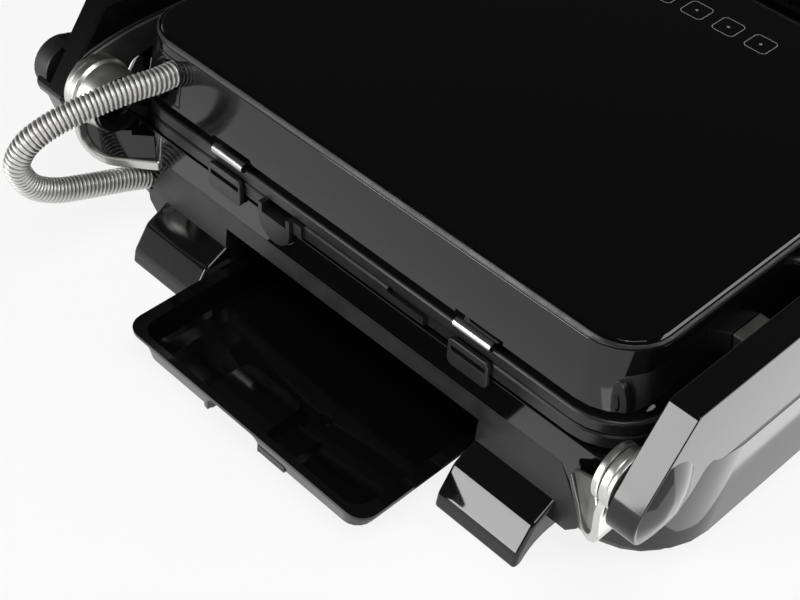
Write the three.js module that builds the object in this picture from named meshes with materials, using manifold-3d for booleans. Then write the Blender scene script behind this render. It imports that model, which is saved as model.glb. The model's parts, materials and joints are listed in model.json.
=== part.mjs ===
// Electric contact grill with a glass-topped lid, a U-shaped handle and a drip tray, in millimetres.
// +Z is up, -Y is the user's side with the grip, +X is the user's right.
// The model is drawn with y = 0 on the body's rear wall and z = 0 on the table, and is
// moved at the end so that its origin is the middle of its footprint.
import * as THREE from "three";
import { mergeVertices } from "three/addons/utils/BufferGeometryUtils.js";
import Module from "manifold-3d";

// ---------------------------------------------------------------- driving dimensions

const GAP = 0.3; // clearance between pieces that touch
const WALL = 3; // moulded wall thickness

// Body depth, from the rear wall at y = 0 to the front wall.
const BODY_FRONT = -250;
const LID_FRONT = -245;

// Heights of the stack, from the table up.
const PAN_BOTTOM = 8;
const SHELL_BOTTOM = 20;
const SEAM_Z = 48.5; // rear lower edge of the base shell
const DECK_Z = 65.3; // top of the base shell between its cheeks
const CHEEK_Z = 76; // top of the base shell beside the plates
const LOWER_PLATE = { bottom: 66.3, top: 74 };
const UPPER_PLATE = { bottom: 74.8, top: 82 };
const LID_BOTTOM = 88;
const LID_DECK = 115.6; // where the cover ends and the glass frame starts
const GLASS_TOP = 118.8;

// Outlines, as half-widths and corner radii.
const BASE = { halfWidth: 184, taper: 4, radius: 41 };
const CHEEK_INNER = 160.3;
const LID = { halfWidth: 157, radius: 28, taper: 5.6 };
const GLASS_INSET = 7.5;

// Rear hinge.
const PIVOT = { y: 12, z: 82 };
const PIN_RADIUS = 4.5;
const BORE_RADIUS = 4.9;
const POST = { inner: 143.5, outer: 147.8, radius: 13.6 };
const EAR = { inner: 163.4, outer: 167.6, rear: 25.2, radius: { left: 12.8, right: 16.4 } };
const STRAP = { inner: 134, bottom: 42, top: 47.6, heel: 14, fillet: 10 };
const HINGE_PLATE = { inner: 167.9, outer: 169.7, radius: 13.7 };
const ARM = { inner: 170, outer: 184, top: 118.8, bottom: 77.3, front: -296 };
const LOBE = { radius: 17, root: 182.4, outer: 190.4 };
const HANDLE_FLOAT = THREE.MathUtils.degToRad(6);

// Drip tray.
const TRAY = { rear: 65.5, front: -108, halfWidth: 75.3, bottom: 2.5, rim: 19, radius: 9 };
const TRAY_FLANGE = { side: 4.8, end: 1.8, thickness: 1.7 };
const TRAY_BAY = { halfWidth: 83, top: 38, front: -178 };

// Rear feet.
const FOOT = { inner: 84, outer: 131, toe: 26, toeTop: 9, top: 43.5 };

// Conduit between the base and the lid.
const CONDUIT_RADIUS = 6.25;
const CONDUIT_ROUTE = [
  [123, -12, 104],
  [123, 3, 104.3],
  [126, 16, 104],
  [131, 31, 101.6],
  [138, 49.5, 96],
  [144, 63, 87.6],
  [148.2, 68.9, 76],
  [149.6, 67, 65.5],
  [149.8, 61, 55.6],
  [149.5, 50, 47.9],
  [149, 36, 42.5],
  [147.8, 16, 36.2],
  [147, 7, 33.4],
  [146.5, 0, 31.1],
  [146.5, -7.6, 31],
];

// ---------------------------------------------------------------- materials

const COLOURS = {
  blackGloss: { color: 0x0c0c0d, roughness: 0.16, metalness: 0 },
  blackMatt: { color: 0x1b1b1c, roughness: 0.6, metalness: 0 },
  blackGlass: { color: 0x050506, roughness: 0.04, metalness: 0 },
  castIron: { color: 0x161617, roughness: 0.5, metalness: 0.1 },
  dieCast: { color: 0xb9b9b6, roughness: 0.38, metalness: 1 },
  chrome: { color: 0xe0e0e0, roughness: 0.14, metalness: 1 },
  steel: { color: 0xc4c4c2, roughness: 0.32, metalness: 1 },
  aluminium: { color: 0xcfcfcd, roughness: 0.4, metalness: 1 },
  rubber: { color: 0x222222, roughness: 0.85, metalness: 0 },
  board: { color: 0x1d4a2c, roughness: 0.55, metalness: 0 },
};

// ---------------------------------------------------------------- solids

const wasm = await Module();
wasm.setup();

// A closed three.js geometry as a solid that can be joined and cut.
function solid(geometry) {
  const bare = geometry.clone();
  bare.deleteAttribute("normal");
  bare.deleteAttribute("uv");
  const merged = mergeVertices(bare, 1e-4);
  const mesh = new wasm.Mesh({
    numProp: 3,
    vertProperties: merged.attributes.position.array,
    triVerts: new Uint32Array(merged.index.array),
  });
  return new wasm.Manifold(mesh);
}

const cut = (body, ...tools) => tools.reduce((rest, tool) => rest.subtract(tool), body);
const join = (body, ...others) => others.reduce((sum, other) => sum.add(other), body);

const group = new THREE.Group();

// Adds one named piece to the model.
function piece(name, body, colour) {
  const made = body.getMesh();
  const geometry = new THREE.BufferGeometry();
  geometry.setAttribute("position", new THREE.BufferAttribute(made.vertProperties, 3));
  geometry.setIndex(new THREE.BufferAttribute(made.triVerts, 1));
  geometry.computeVertexNormals();
  const mesh = new THREE.Mesh(geometry, new THREE.MeshStandardMaterial(COLOURS[colour]));
  mesh.name = name;
  group.add(mesh);
  return mesh;
}

function moved(geometry, basis, x = 0, y = 0, z = 0) {
  return geometry.applyMatrix4(basis.setPosition(x, y, z));
}

const X = new THREE.Vector3(1, 0, 0);
const Y = new THREE.Vector3(0, 1, 0);
const Z = new THREE.Vector3(0, 0, 1);

function extruded(shape, depth, bevel, curveSegments) {
  return new THREE.ExtrudeGeometry(shape, {
    depth: depth - 2 * bevel,
    bevelEnabled: bevel > 0,
    bevelSize: bevel,
    bevelThickness: bevel,
    bevelOffset: -bevel,
    bevelSegments: 1,
    curveSegments,
  }).translate(0, 0, bevel);
}

// A (y, z) shape extruded along X from x0 to x1.
function alongX(shape, x0, x1, bevel = 0, curveSegments = 8) {
  const basis = new THREE.Matrix4().makeBasis(Y, Z, X);
  return solid(moved(extruded(shape, x1 - x0, bevel, curveSegments), basis, x0));
}

// An (x, z) shape extruded along Y from y0 to y1.
function alongY(shape, y0, y1, bevel = 0, curveSegments = 8) {
  const basis = new THREE.Matrix4().makeBasis(X, Z, Y.clone().negate());
  return solid(moved(extruded(shape, y1 - y0, bevel, curveSegments), basis, 0, y1));
}

// An (x, y) shape extruded along Z from z0 to z1.
function alongZ(shape, z0, z1, bevel = 0, curveSegments = 8) {
  return solid(extruded(shape, z1 - z0, bevel, curveSegments).translate(0, 0, z0));
}

function box(x0, x1, y0, y1, z0, z1) {
  const geometry = new THREE.BoxGeometry(x1 - x0, y1 - y0, z1 - z0);
  return solid(geometry.translate((x0 + x1) / 2, (y0 + y1) / 2, (z0 + z1) / 2));
}

// A revolved profile of [radius, distance] points about an axis along X that starts at x0.
function turnedX(profile, x0, y, z, segments = 24) {
  const points = profile.map(([radius, along]) => new THREE.Vector2(radius, along));
  const geometry = new THREE.LatheGeometry(points, segments).rotateZ(-Math.PI / 2);
  return solid(geometry.translate(x0, y, z));
}

// The same about a vertical axis.
function turnedZ(profile, x, y, segments = 20) {
  const points = profile.map(([radius, along]) => new THREE.Vector2(radius, along));
  return solid(new THREE.LatheGeometry(points, segments).rotateX(Math.PI / 2).translate(x, y, 0));
}

function rod(radius, x0, x1, y, z, segments = 20) {
  const profile = [[0, 0], [radius, 0], [radius, x1 - x0], [0, x1 - x0]];
  return turnedX(profile, x0, y, z, segments);
}

function rodY(radius, y0, y1, x, z, segments = 18) {
  const geometry = new THREE.CylinderGeometry(radius, radius, y1 - y0, segments);
  return solid(geometry.translate(x, (y0 + y1) / 2, z));
}

function polygon(points) {
  return new THREE.Shape(points.map(([u, v]) => new THREE.Vector2(u, v)));
}

// A rectangle with round corners between u0..u1 and v0..v1.
function roundedBox(u0, u1, v0, v1, r) {
  const shape = new THREE.Shape();
  shape.moveTo(u0 + r, v0);
  shape.lineTo(u1 - r, v0);
  shape.absarc(u1 - r, v0 + r, r, -Math.PI / 2, 0);
  shape.lineTo(u1, v1 - r);
  shape.absarc(u1 - r, v1 - r, r, 0, Math.PI / 2);
  shape.lineTo(u0 + r, v1);
  shape.absarc(u0 + r, v1 - r, r, Math.PI / 2, Math.PI);
  shape.lineTo(u0, v0 + r);
  shape.absarc(u0 + r, v0 + r, r, Math.PI, 1.5 * Math.PI);
  return shape;
}

// One ring of points of a rounded rectangle, counter-clockwise seen from above.
function ring({ halfWidth, front, rear, radius, z }, steps) {
  const corners = [
    [halfWidth - radius, rear - radius, 0],
    [radius - halfWidth, rear - radius, 1],
    [radius - halfWidth, front + radius, 2],
    [halfWidth - radius, front + radius, 3],
  ];
  return corners.flatMap(([x, y, quarter]) =>
    Array.from({ length: steps + 1 }, (_, i) => {
      const angle = (quarter + i / steps) * (Math.PI / 2);
      return [x + radius * Math.cos(angle), y + radius * Math.sin(angle), z];
    }),
  );
}

// A solid through rounded-rectangle rings listed from the lowest to the highest.
function loft(rings, steps = 6) {
  const points = rings.map((r) => ring(r, steps));
  const count = points[0].length;
  const at = (level, i) => level * count + (i % count);
  const index = [];
  for (let level = 0; level + 1 < points.length; level++) {
    for (let i = 0; i < count; i++) {
      index.push(at(level, i), at(level, i + 1), at(level + 1, i + 1));
      index.push(at(level, i), at(level + 1, i + 1), at(level + 1, i));
    }
  }
  const top = points.length - 1;
  for (let i = 1; i + 1 < count; i++) {
    index.push(at(0, 0), at(0, i + 1), at(0, i));
    index.push(at(top, 0), at(top, i), at(top, i + 1));
  }
  const geometry = new THREE.BufferGeometry();
  const flat = new Float32Array(points.flat(2));
  geometry.setAttribute("position", new THREE.BufferAttribute(flat, 3));
  geometry.setIndex(index);
  return solid(geometry);
}

// A tube of radius r along a smooth curve through points.
function tube(points, r, steps, sides) {
  const route = points.map((point) => new THREE.Vector3(...point));
  const curve = new THREE.CatmullRomCurve3(route, false, "centripetal");
  const section = new THREE.Shape();
  for (let i = 0; i < sides; i++) {
    const angle = (i / sides) * 2 * Math.PI;
    section[i ? "lineTo" : "moveTo"](r * Math.cos(angle), r * Math.sin(angle));
  }
  const options = { steps, extrudePath: curve, bevelEnabled: false };
  return solid(new THREE.ExtrudeGeometry(section, options));
}

const SIDES = [
  { side: "left", s: -1 },
  { side: "right", s: 1 },
];

// Mirrors a solid drawn on the right (+X) side to the side s.
function onSide(s, body) {
  return s > 0 ? body : body.mirror([1, 0, 0]);
}

// ---------------------------------------------------------------- outlines

// The base's outer outline at height z, grown outwards by extra.
function baseRing(z, extra = 0) {
  const share = (CHEEK_Z - z) / (CHEEK_Z - SHELL_BOTTOM);
  const inset = BASE.taper * share - extra;
  return {
    halfWidth: BASE.halfWidth - inset,
    front: BODY_FRONT + inset,
    rear: extra,
    radius: BASE.radius - inset,
    z,
  };
}

// The lid's outer outline at height z, grown outwards by extra: a wall that leans in as it rises.
function lidRing(z, extra = 0) {
  const share = Math.max(0, (z - LID_BOTTOM) / (LID_DECK - LID_BOTTOM));
  const inset = LID.taper * share ** 1.25 - extra;
  return {
    halfWidth: LID.halfWidth - inset,
    front: LID_FRONT + inset,
    rear: -inset,
    radius: LID.radius - inset * 0.4,
    z,
  };
}

const LID_LEVELS = [LID_BOTTOM, 95, 102, 109, LID_DECK];

function lidSolid(extra = 0) {
  return loft(LID_LEVELS.map((z) => lidRing(z, extra)));
}

// A plate's outline, the same as the lid's lower edge.
function plateRing(z, inset = 0) {
  return {
    halfWidth: LID.halfWidth - inset,
    front: LID_FRONT + inset,
    rear: -inset,
    radius: LID.radius - inset,
    z,
  };
}

// ---------------------------------------------------------------- base

const CLIP_X = 77;
const SPOUT = { left: 34.5, right: 56, lipLeft: 28.5 };
const CONDUIT_BASE_HOLE = { x: 146.5, z: 31, radius: 7.4 };

// The rear opening of the base shell, where the lower pan shows: (x, z), grown by extra.
function rearWindow(extra) {
  const top = SEAM_Z + extra;
  const side = [[137, 14], [142.5, 20], [143.5, 26.5], [138, 34], [132.5, 42], [128, top]];
  const right = side.map(([x, z]) => [x + extra, z]);
  const left = right.map(([x, z]) => [-x, z]).reverse();
  return polygon([...right, ...left]);
}

// The pan's rear panel in section: flush at the seam, leaning out towards the feet. (y, z).
const PANEL_LEAN = [[-0.5, 50], [-0.3, 46], [0.8, 38], [1.8, 28], [2.2, 20], [2.2, 7]];

function rearPanel(grow) {
  const face = PANEL_LEAN.map(([y, z]) => [y + grow, z]);
  const section = polygon([...face, [-WALL - 4, 7], [-WALL - 4, 50]]);
  return alongX(section, -160, 160).intersect(alongY(rearWindow(grow - 0.4), -20, 20));
}

function makeBaseShell() {
  const outer = loft([
    baseRing(SHELL_BOTTOM),
    baseRing(50),
    baseRing(CHEEK_Z - 1.5),
    { ...baseRing(CHEEK_Z), halfWidth: BASE.halfWidth - 1.5, rear: -1.5, front: BODY_FRONT + 1.5 },
  ]);
  const bore = (z) => ({ ...baseRing(z, -WALL), z });
  const hollow = loft([{ ...bore(SHELL_BOTTOM), z: SHELL_BOTTOM - 1 }, bore(50), bore(CHEEK_Z - WALL)]);
  const deck = box(-CHEEK_INNER - WALL, CHEEK_INNER + WALL, BODY_FRONT - 1, 1, DECK_Z - WALL, CHEEK_Z);
  const plateBay = box(-CHEEK_INNER, CHEEK_INNER, BODY_FRONT - 1, 1, DECK_Z, CHEEK_Z + 1);
  const heaterWindow = loft([plateRing(DECK_Z - WALL - 1, 9), plateRing(DECK_Z + 1, 9)], 4);
  const spoutNotch = alongY(spoutShape(0.5), -14, 1);
  const conduitHole = rodY(CONDUIT_BASE_HOLE.radius, -12, 9, CONDUIT_BASE_HOLE.x, CONDUIT_BASE_HOLE.z);
  const cordHole = rod(6.4, 170, 190, CORD_GLAND.y, CORD_GLAND.z);
  const button = box(-23.5, 23.5, BODY_FRONT - 1, BODY_FRONT + 8, 49.5, 59.5);
  return cut(
    outer,
    hollow.subtract(deck),
    plateBay,
    heaterWindow,
    alongY(rearWindow(0), -12, 1),
    spoutNotch,
    conduitHole,
    cordHole,
    button,
  );
}

// The drain spout's U, seen from the rear: (x, z), grown by extra.
function spoutShape(extra) {
  const { left, right } = SPOUT;
  const r = (right - left) / 2 + extra;
  const middle = (left + right) / 2;
  const shape = new THREE.Shape();
  shape.moveTo(middle - r, LOWER_PLATE.top + 4);
  shape.lineTo(middle - r, 66);
  shape.absarc(middle, 66, r, Math.PI, 2 * Math.PI);
  shape.lineTo(middle + r, LOWER_PLATE.top + 4);
  return shape;
}

const CORD_GLAND = { y: -70, z: 53 };
const SCREWS = [
  [-120, -60],
  [120, -60],
  [-120, -205],
  [120, -205],
];

// The lower pan closes the base from below and carries the drip tray's bay.
function makeBasePan() {
  const side = BASE.halfWidth - BASE.taper - WALL - 0.6;
  const rear = -WALL - 0.6;
  const level = (z, inset) => ({
    halfWidth: side - inset,
    front: BODY_FRONT + BASE.taper + WALL + 0.6 + inset,
    rear: rear - inset * 0.4,
    radius: BASE.radius - 8 - inset * 0.4,
    z,
  });
  const outer = loft([level(PAN_BOTTOM, 8), level(12, 2.5), level(SHELL_BOTTOM - 1, 0), level(44, 0)]);
  const hollow = loft([level(PAN_BOTTOM + WALL, 9), level(15, 5), level(45, WALL)]);
  const panelTrim = box(-160, 160, -20, 9, 0, PAN_BOTTOM);
  const { halfWidth, top, front } = TRAY_BAY;
  const bayWalls = box(-halfWidth - 2.5, halfWidth + 2.5, front - 2.5, rear, PAN_BOTTOM, top + 2.5);
  const bay = box(-halfWidth, halfWidth, front, 9, PAN_BOTTOM - 1, top);
  const railTop = TRAY.rim - TRAY_FLANGE.thickness - GAP;
  const rail = (s) => onSide(s, box(TRAY.halfWidth + 1.4, halfWidth + 1, front, -2, railTop - 3, railTop));
  const conduitHole = rodY(CONDUIT_BASE_HOLE.radius, -12, 9, CONDUIT_BASE_HOLE.x, CONDUIT_BASE_HOLE.z);
  const screwHoles = SCREWS.map(([x, y]) => turnedZ([[0, 7], [4.3, 7], [4.3, 12], [0, 12]], x, y, 12));
  return join(
    cut(
      join(outer.subtract(hollow), rearPanel(0).subtract(panelTrim), bayWalls),
      bay,
      conduitHole,
      ...screwHoles,
    ),
    rail(-1),
    rail(1),
  );
}

// A cast plate with a raised rim, a drain channel inside it and ribs that run to the rear.
// face is the rim's height, depth the drop to the cooking surface (negative for the upper plate).
function ribbedPlate(outer, face, depth) {
  const up = Math.sign(depth);
  const floor = face - depth;
  const span = (z0, z1) => [Math.min(z0, z1), Math.max(z0, z1)];
  const [low, high] = span(floor, face + up);
  const recess = loft([plateRing(low, 6), plateRing(high, 5)]);
  const ribs = [];
  const pitch = 15;
  for (let i = -9; i <= 9; i++) {
    const x = i * pitch;
    const tip = face - up * 0.4;
    const root = floor - up;
    const section = polygon(
      up > 0
        ? [[x - 2.6, root], [x + 2.6, root], [x + 1.3, tip], [x - 1.3, tip]]
        : [[x - 1.3, tip], [x + 1.3, tip], [x + 2.6, root], [x - 2.6, root]],
    );
    ribs.push(alongY(section, LID_FRONT + 14, -14));
  }
  return join(outer.subtract(recess), ...ribs);
}

function makeLowerPlate() {
  const { bottom, top } = LOWER_PLATE;
  const outer = loft([
    plateRing(bottom, 1),
    plateRing(bottom + 1),
    plateRing(top - 0.8),
    plateRing(top, 0.8),
  ]);
  const plate = ribbedPlate(outer, top, 3.6);
  const channel = loft([plateRing(top - 5.2, 6.5), plateRing(top - 3, 6)]).subtract(
    loft([plateRing(top - 6, 13), plateRing(top - 2, 13)]),
  );
  // A trough through the rear rim, with a raised lip on one side, drops the fat into the tray.
  const { left, right, lipLeft } = SPOUT;
  const trough = alongY(spoutShape(-0.2), -11.5, 3.2).intersect(box(0, 80, -14, 4, 40, top - 0.2));
  const gutter = alongY(spoutShape(-2.6), -16, 4);
  const gutterFall = box(left, right, -16, 4, top - 5.2, top + 5);
  const lip = box(lipLeft, left + 2, -4, 1.6, bottom + 1, top);
  const step = box(-47, -25, -2.5, 1, top - 2.4, top + 1);
  const notch = box(-66, -47, -2.5, 1, bottom - 1, top + 1);
  return cut(join(plate.subtract(channel), trough, lip), gutter.intersect(gutterFall), step, notch);
}

// A tubular heating element: two long legs and a bend, with cold ends towards the front.
function heater(z, y0) {
  const half = 95;
  const inner = 38;
  const points = [];
  points.push([-inner, y0, z], [-inner, -70, z], [-inner - 12, -48, z], [-half + 12, -40, z]);
  points.push([-half, -60, z], [-half, -190, z], [-half + 16, -212, z], [0, -218, z]);
  points.push([half - 16, -212, z], [half, -190, z], [half, -60, z], [half - 12, -40, z]);
  points.push([inner + 12, -48, z], [inner, -70, z], [inner, y0, z]);
  return tube(points, 3.2, 48, 6);
}

// A shallow sheet-metal dish with its open side up (or down, when flip is set).
function reflector(z0, z1, inset, flip) {
  const sheet = 0.8;
  const outer = loft([plateRing(z0, inset), plateRing(z1, inset)], 4);
  const low = flip ? z0 - 1 : z0 + sheet;
  const high = flip ? z1 - sheet : z1 + 1;
  return outer.subtract(loft([plateRing(low, inset + sheet), plateRing(high, inset + sheet)], 4));
}

function makePowerBoard() {
  const board = box(96, 158, -190, -90, 21, 22.6);
  const relay = box(104, 120, -120, -98, 22, 38);
  const supply = box(126, 150, -130, -100, 22, 36);
  const terminal = box(104, 148, -182, -166, 22, 34);
  const posts = [[100, -94], [154, -94], [100, -186], [154, -186]].map(([x, y]) =>
    box(x - 2.5, x + 2.5, y - 2.5, y + 2.5, PAN_BOTTOM + WALL + GAP, 21.5),
  );
  return join(board, relay, supply, terminal, ...posts);
}

function makeCordGland() {
  const profile = [[3.6, -6], [6, -6], [6, 5.6], [9, 5.6], [8.2, 10], [5.4, 11.6], [3.6, 11.6], [3.6, -6]];
  return turnedX(profile, 178, CORD_GLAND.y, CORD_GLAND.z, 20);
}

// A claw-shaped foot: a long convex back that runs down to a square toe, hollowed underneath,
// with its upper outer corner rounded off.
function makeRearFoot() {
  const { inner, outer, toe, toeTop, top } = FOOT;
  const shape = new THREE.Shape();
  const wall = -1;
  shape.moveTo(wall, 9);
  shape.quadraticCurveTo(16, 9, 21.5, 0);
  shape.lineTo(toe, 0);
  shape.lineTo(toe, toeTop);
  shape.quadraticCurveTo(19.5, 27, 8.5, 33.4);
  shape.quadraticCurveTo(3, 36.8, wall, top);
  const back = alongX(shape, inner, outer, 0, 9);
  const outline = new THREE.Shape();
  outline.moveTo(inner - 1, -1);
  outline.lineTo(outer + 1, -1);
  outline.lineTo(outer + 1, 20);
  outline.quadraticCurveTo(126, 36, 116, 40);
  outline.quadraticCurveTo(109, top, 102, top + 1);
  outline.lineTo(inner - 1, top + 1);
  return back.intersect(alongY(outline, -10, 40, 0, 6)).subtract(rearPanel(GAP));
}

function makeFrontFoot() {
  const level = (z, inset) => ({
    halfWidth: 17 - inset,
    front: -14 + inset,
    rear: 14 - inset,
    radius: 8 - inset,
    z,
  });
  const pad = loft([level(0, 1.2), level(1.2, 0), level(PAN_BOTTOM - GAP, 0)], 4);
  return pad.translate([112, -222, 0]);
}

function makeBaseScrew([x, y]) {
  const profile = [
    [0, PAN_BOTTOM + 0.4],
    [3.6, PAN_BOTTOM + 0.4],
    [3.9, 10.4],
    [1.6, 10.4],
    [1.6, 11.6],
    [0, 11.6],
  ];
  return turnedZ(profile, x, y, 10);
}

// The tongue that holds the rear edge of the lower plate: a rounded tab with a slot.
function makePlateTongue(s) {
  const x = s > 0 ? 80.5 : -75.5;
  const shape = roundedBox(x - 11.5, x + 11.5, 60.5, 75.6, 3);
  const slot = box(x - 10, x + 9.4, -3, 4, 69, 71.8);
  return alongY(shape, GAP, 2.9, 0.4, 3).subtract(slot);
}

// ---------------------------------------------------------------- hinge

const pivotRod = (radius, x0, x1, segments) => rod(radius, x0, x1, PIVOT.y, PIVOT.z, segments);

// The strap in plan: its rear edge runs from the base's rear wall out to the ear, moved
// forward by inset.
function strapPlan(inset) {
  return polygon([
    [STRAP.inner + inset, -30],
    [EAR.outer, -30],
    [EAR.outer, EAR.rear + 2],
    [EAR.inner, EAR.rear + 2],
    [EAR.inner, 22 - inset],
    [157, 19 - inset],
    [146, 10.5 - inset],
    [STRAP.inner + inset, 1 - inset],
  ]);
}

// The bracket seen from the rear: a flat strap bent up into the ear.
function strapSection() {
  const { inner, bottom, top, heel, fillet } = STRAP;
  const shape = new THREE.Shape();
  shape.moveTo(inner, bottom);
  shape.lineTo(EAR.outer - heel, bottom);
  shape.quadraticCurveTo(EAR.outer, bottom, EAR.outer, bottom + heel);
  shape.lineTo(EAR.outer, 100);
  shape.lineTo(EAR.inner, 100);
  shape.lineTo(EAR.inner, top + fillet);
  shape.quadraticCurveTo(EAR.inner, top, EAR.inner - fillet, top);
  shape.lineTo(inner, top);
  return shape;
}

// The space above the strap and inside the ear, up to the height top.
function infillSection(high) {
  const { inner, top, fillet } = STRAP;
  const side = EAR.inner - GAP;
  const floor = top + GAP;
  const shape = new THREE.Shape();
  shape.moveTo(inner, floor);
  shape.lineTo(side - fillet, floor);
  shape.quadraticCurveTo(side, floor, side, floor + fillet);
  shape.lineTo(side, high);
  shape.lineTo(inner, high);
  return shape;
}

// The base's outer block with the step down to its deck, grown by the clearance.
function baseBlock() {
  const block = loft([baseRing(SHELL_BOTTOM, GAP), baseRing(CHEEK_Z, GAP)]);
  const side = CHEEK_INNER - GAP;
  return block.subtract(box(-side, side, BODY_FRONT - 1, 1, DECK_Z + GAP, CHEEK_Z + 1));
}

// The die-cast bracket: an ear round the pin, a rear edge with a rounded heel and a strap
// that runs in under the hinge to the base's rear wall.
function makeHingeBracket(side) {
  const ear = new THREE.Shape();
  const { y, z } = PIVOT;
  const radius = EAR.radius[side];
  ear.moveTo(EAR.rear, z - 4);
  ear.lineTo(y + radius * Math.cos(0.2), z + radius * Math.sin(0.2));
  ear.absarc(y, z, radius, 0.2, Math.PI);
  ear.lineTo(-12, 62);
  ear.lineTo(-12, 38);
  ear.lineTo(8, 38);
  ear.quadraticCurveTo(22.5, 38, EAR.rear - 0.6, 56);
  const profile = alongX(ear, STRAP.inner, EAR.outer, 0, 10);
  const bend = alongY(strapSection(), -30, 30, 0, 6);
  const plan = alongZ(strapPlan(0), STRAP.bottom - 1, 101);
  const body = profile.intersect(bend).intersect(plan);
  return cut(body, baseBlock(), pivotRod(BORE_RADIUS, 140, 190));
}

// The black moulding that fills the bracket above its strap. On the right it cradles the bell
// and carries a round eye at the pivot on a neck.
function makeHingePost(side) {
  const { y, z } = PIVOT;
  const plan = alongZ(strapPlan(1.6), 40, 80);
  if (side === "left") {
    return cut(alongY(infillSection(58), -30, 30, 0, 6).intersect(plan), baseBlock());
  }
  const cradle = alongY(infillSection(72), GAP, 30, 0, 6).intersect(plan);
  const shelf = box(130, POST.inner + 1, -40, 40, 62, 80);
  const disc = rod(POST.radius, POST.inner, POST.outer, y, z, 32);
  const neck = box(POST.inner, POST.inner + 2.2, -3.6, 2.4, 60, z);
  const block = cut(cradle, shelf, pivotRod(BELL_CLEARANCE, POST.inner, EAR.outer, 32));
  return cut(join(block, disc, neck), baseBlock(), pivotRod(BORE_RADIUS, 140, 190));
}

// The pin reaches from the bell, or on the left from the collar, into the arm's lobe.
function makeHingePin(side) {
  const start = side === "right" ? 146.4 : 159;
  const length = 176.8 - start;
  const tip = PIN_RADIUS - 0.9;
  const profile = [
    [0, 0],
    [tip, 0],
    [PIN_RADIUS, 0.9],
    [PIN_RADIUS, length - 0.9],
    [tip, length],
    [0, length],
  ];
  return turnedX(profile, start, PIVOT.y, PIVOT.z, 20);
}

// The die-cast bell between post and ear, which houses the lid's balance spring. It narrows
// in rings towards the post and laps over the post's eye. The left hinge has a plain collar.
const BELL_CLEARANCE = 17.8;
const BELL = [
  [BORE_RADIUS, 148.1],
  [POST.radius + GAP, 148.1],
  [POST.radius + GAP, 146],
  [14.7, 146],
  [14.7, 149],
  [15.2, 150.4],
  [15.2, 153],
  [16, 154.4],
  [16, 157.6],
  [17.2, 159.4],
  [17.2, EAR.inner - GAP],
  [BORE_RADIUS, EAR.inner - GAP],
  [BORE_RADIUS, 148.1],
];
const COLLAR = [
  [BORE_RADIUS, 159.6],
  [6.4, 159.6],
  [7, 160.2],
  [7, EAR.inner - GAP],
  [BORE_RADIUS, EAR.inner - GAP],
  [BORE_RADIUS, 159.6],
];

function makeHingeDrum(side) {
  if (side === "left") return turnedX(COLLAR, 0, PIVOT.y, PIVOT.z, 20);
  // A small lug reaches down from the bell's front to the deck and hooks the spring's end.
  const lug = join(box(149, 150.8, -7.6, 0, 70, 74.6), box(149, 150.8, -2.8, -1, 66.2, 71));
  return join(turnedX(BELL, 0, PIVOT.y, PIVOT.z, 32), lug);
}

// The lid's hinge plate: a flat steel bar on the pin, just inside the arm, that runs forward
// to a spacer on the lid's side wall.
function makeLidHinge() {
  const { y, z } = PIVOT;
  const { inner, outer, radius } = HINGE_PLATE;
  const bar = new THREE.Shape();
  bar.absarc(y, z, radius, -1.9, 1.2);
  bar.quadraticCurveTo(-4, 101, -24, 101);
  bar.lineTo(-84, 101);
  bar.lineTo(-84, 86);
  bar.lineTo(-24, 86);
  bar.quadraticCurveTo(-6, 84, y - 8, 70);
  const plate = alongX(bar, inner, outer, 0, 8);
  const spacer = box(150, inner + 1, -82, -64, 88, 99);
  return cut(join(plate, spacer), lidSolid(GAP), pivotRod(BORE_RADIUS, 140, 190));
}

// ---------------------------------------------------------------- handle

const LID_PIN = { y: -120, z: 101, radius: 4, tip: 175 };

// The arc-shaped slot in the arm's inner face, in which the lid's pin floats.
function pinSlot(radius) {
  const reach = Math.hypot(LID_PIN.y - PIVOT.y, LID_PIN.z - PIVOT.z);
  const rest = Math.atan2(LID_PIN.z - PIVOT.z, LID_PIN.y - PIVOT.y);
  const end = rest + HANDLE_FLOAT;
  const shape = new THREE.Shape();
  const centre = (angle) => [PIVOT.y + reach * Math.cos(angle), PIVOT.z + reach * Math.sin(angle)];
  shape.absarc(...centre(rest), radius, rest - Math.PI, rest, false);
  shape.absarc(PIVOT.y, PIVOT.z, reach + radius, rest, end, false);
  shape.absarc(...centre(end), radius, end, end + Math.PI, false);
  shape.absarc(PIVOT.y, PIVOT.z, reach - radius, end, rest, true);
  return alongX(shape, ARM.inner - 1, LID_PIN.tip + 1, 0, 5);
}

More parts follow.
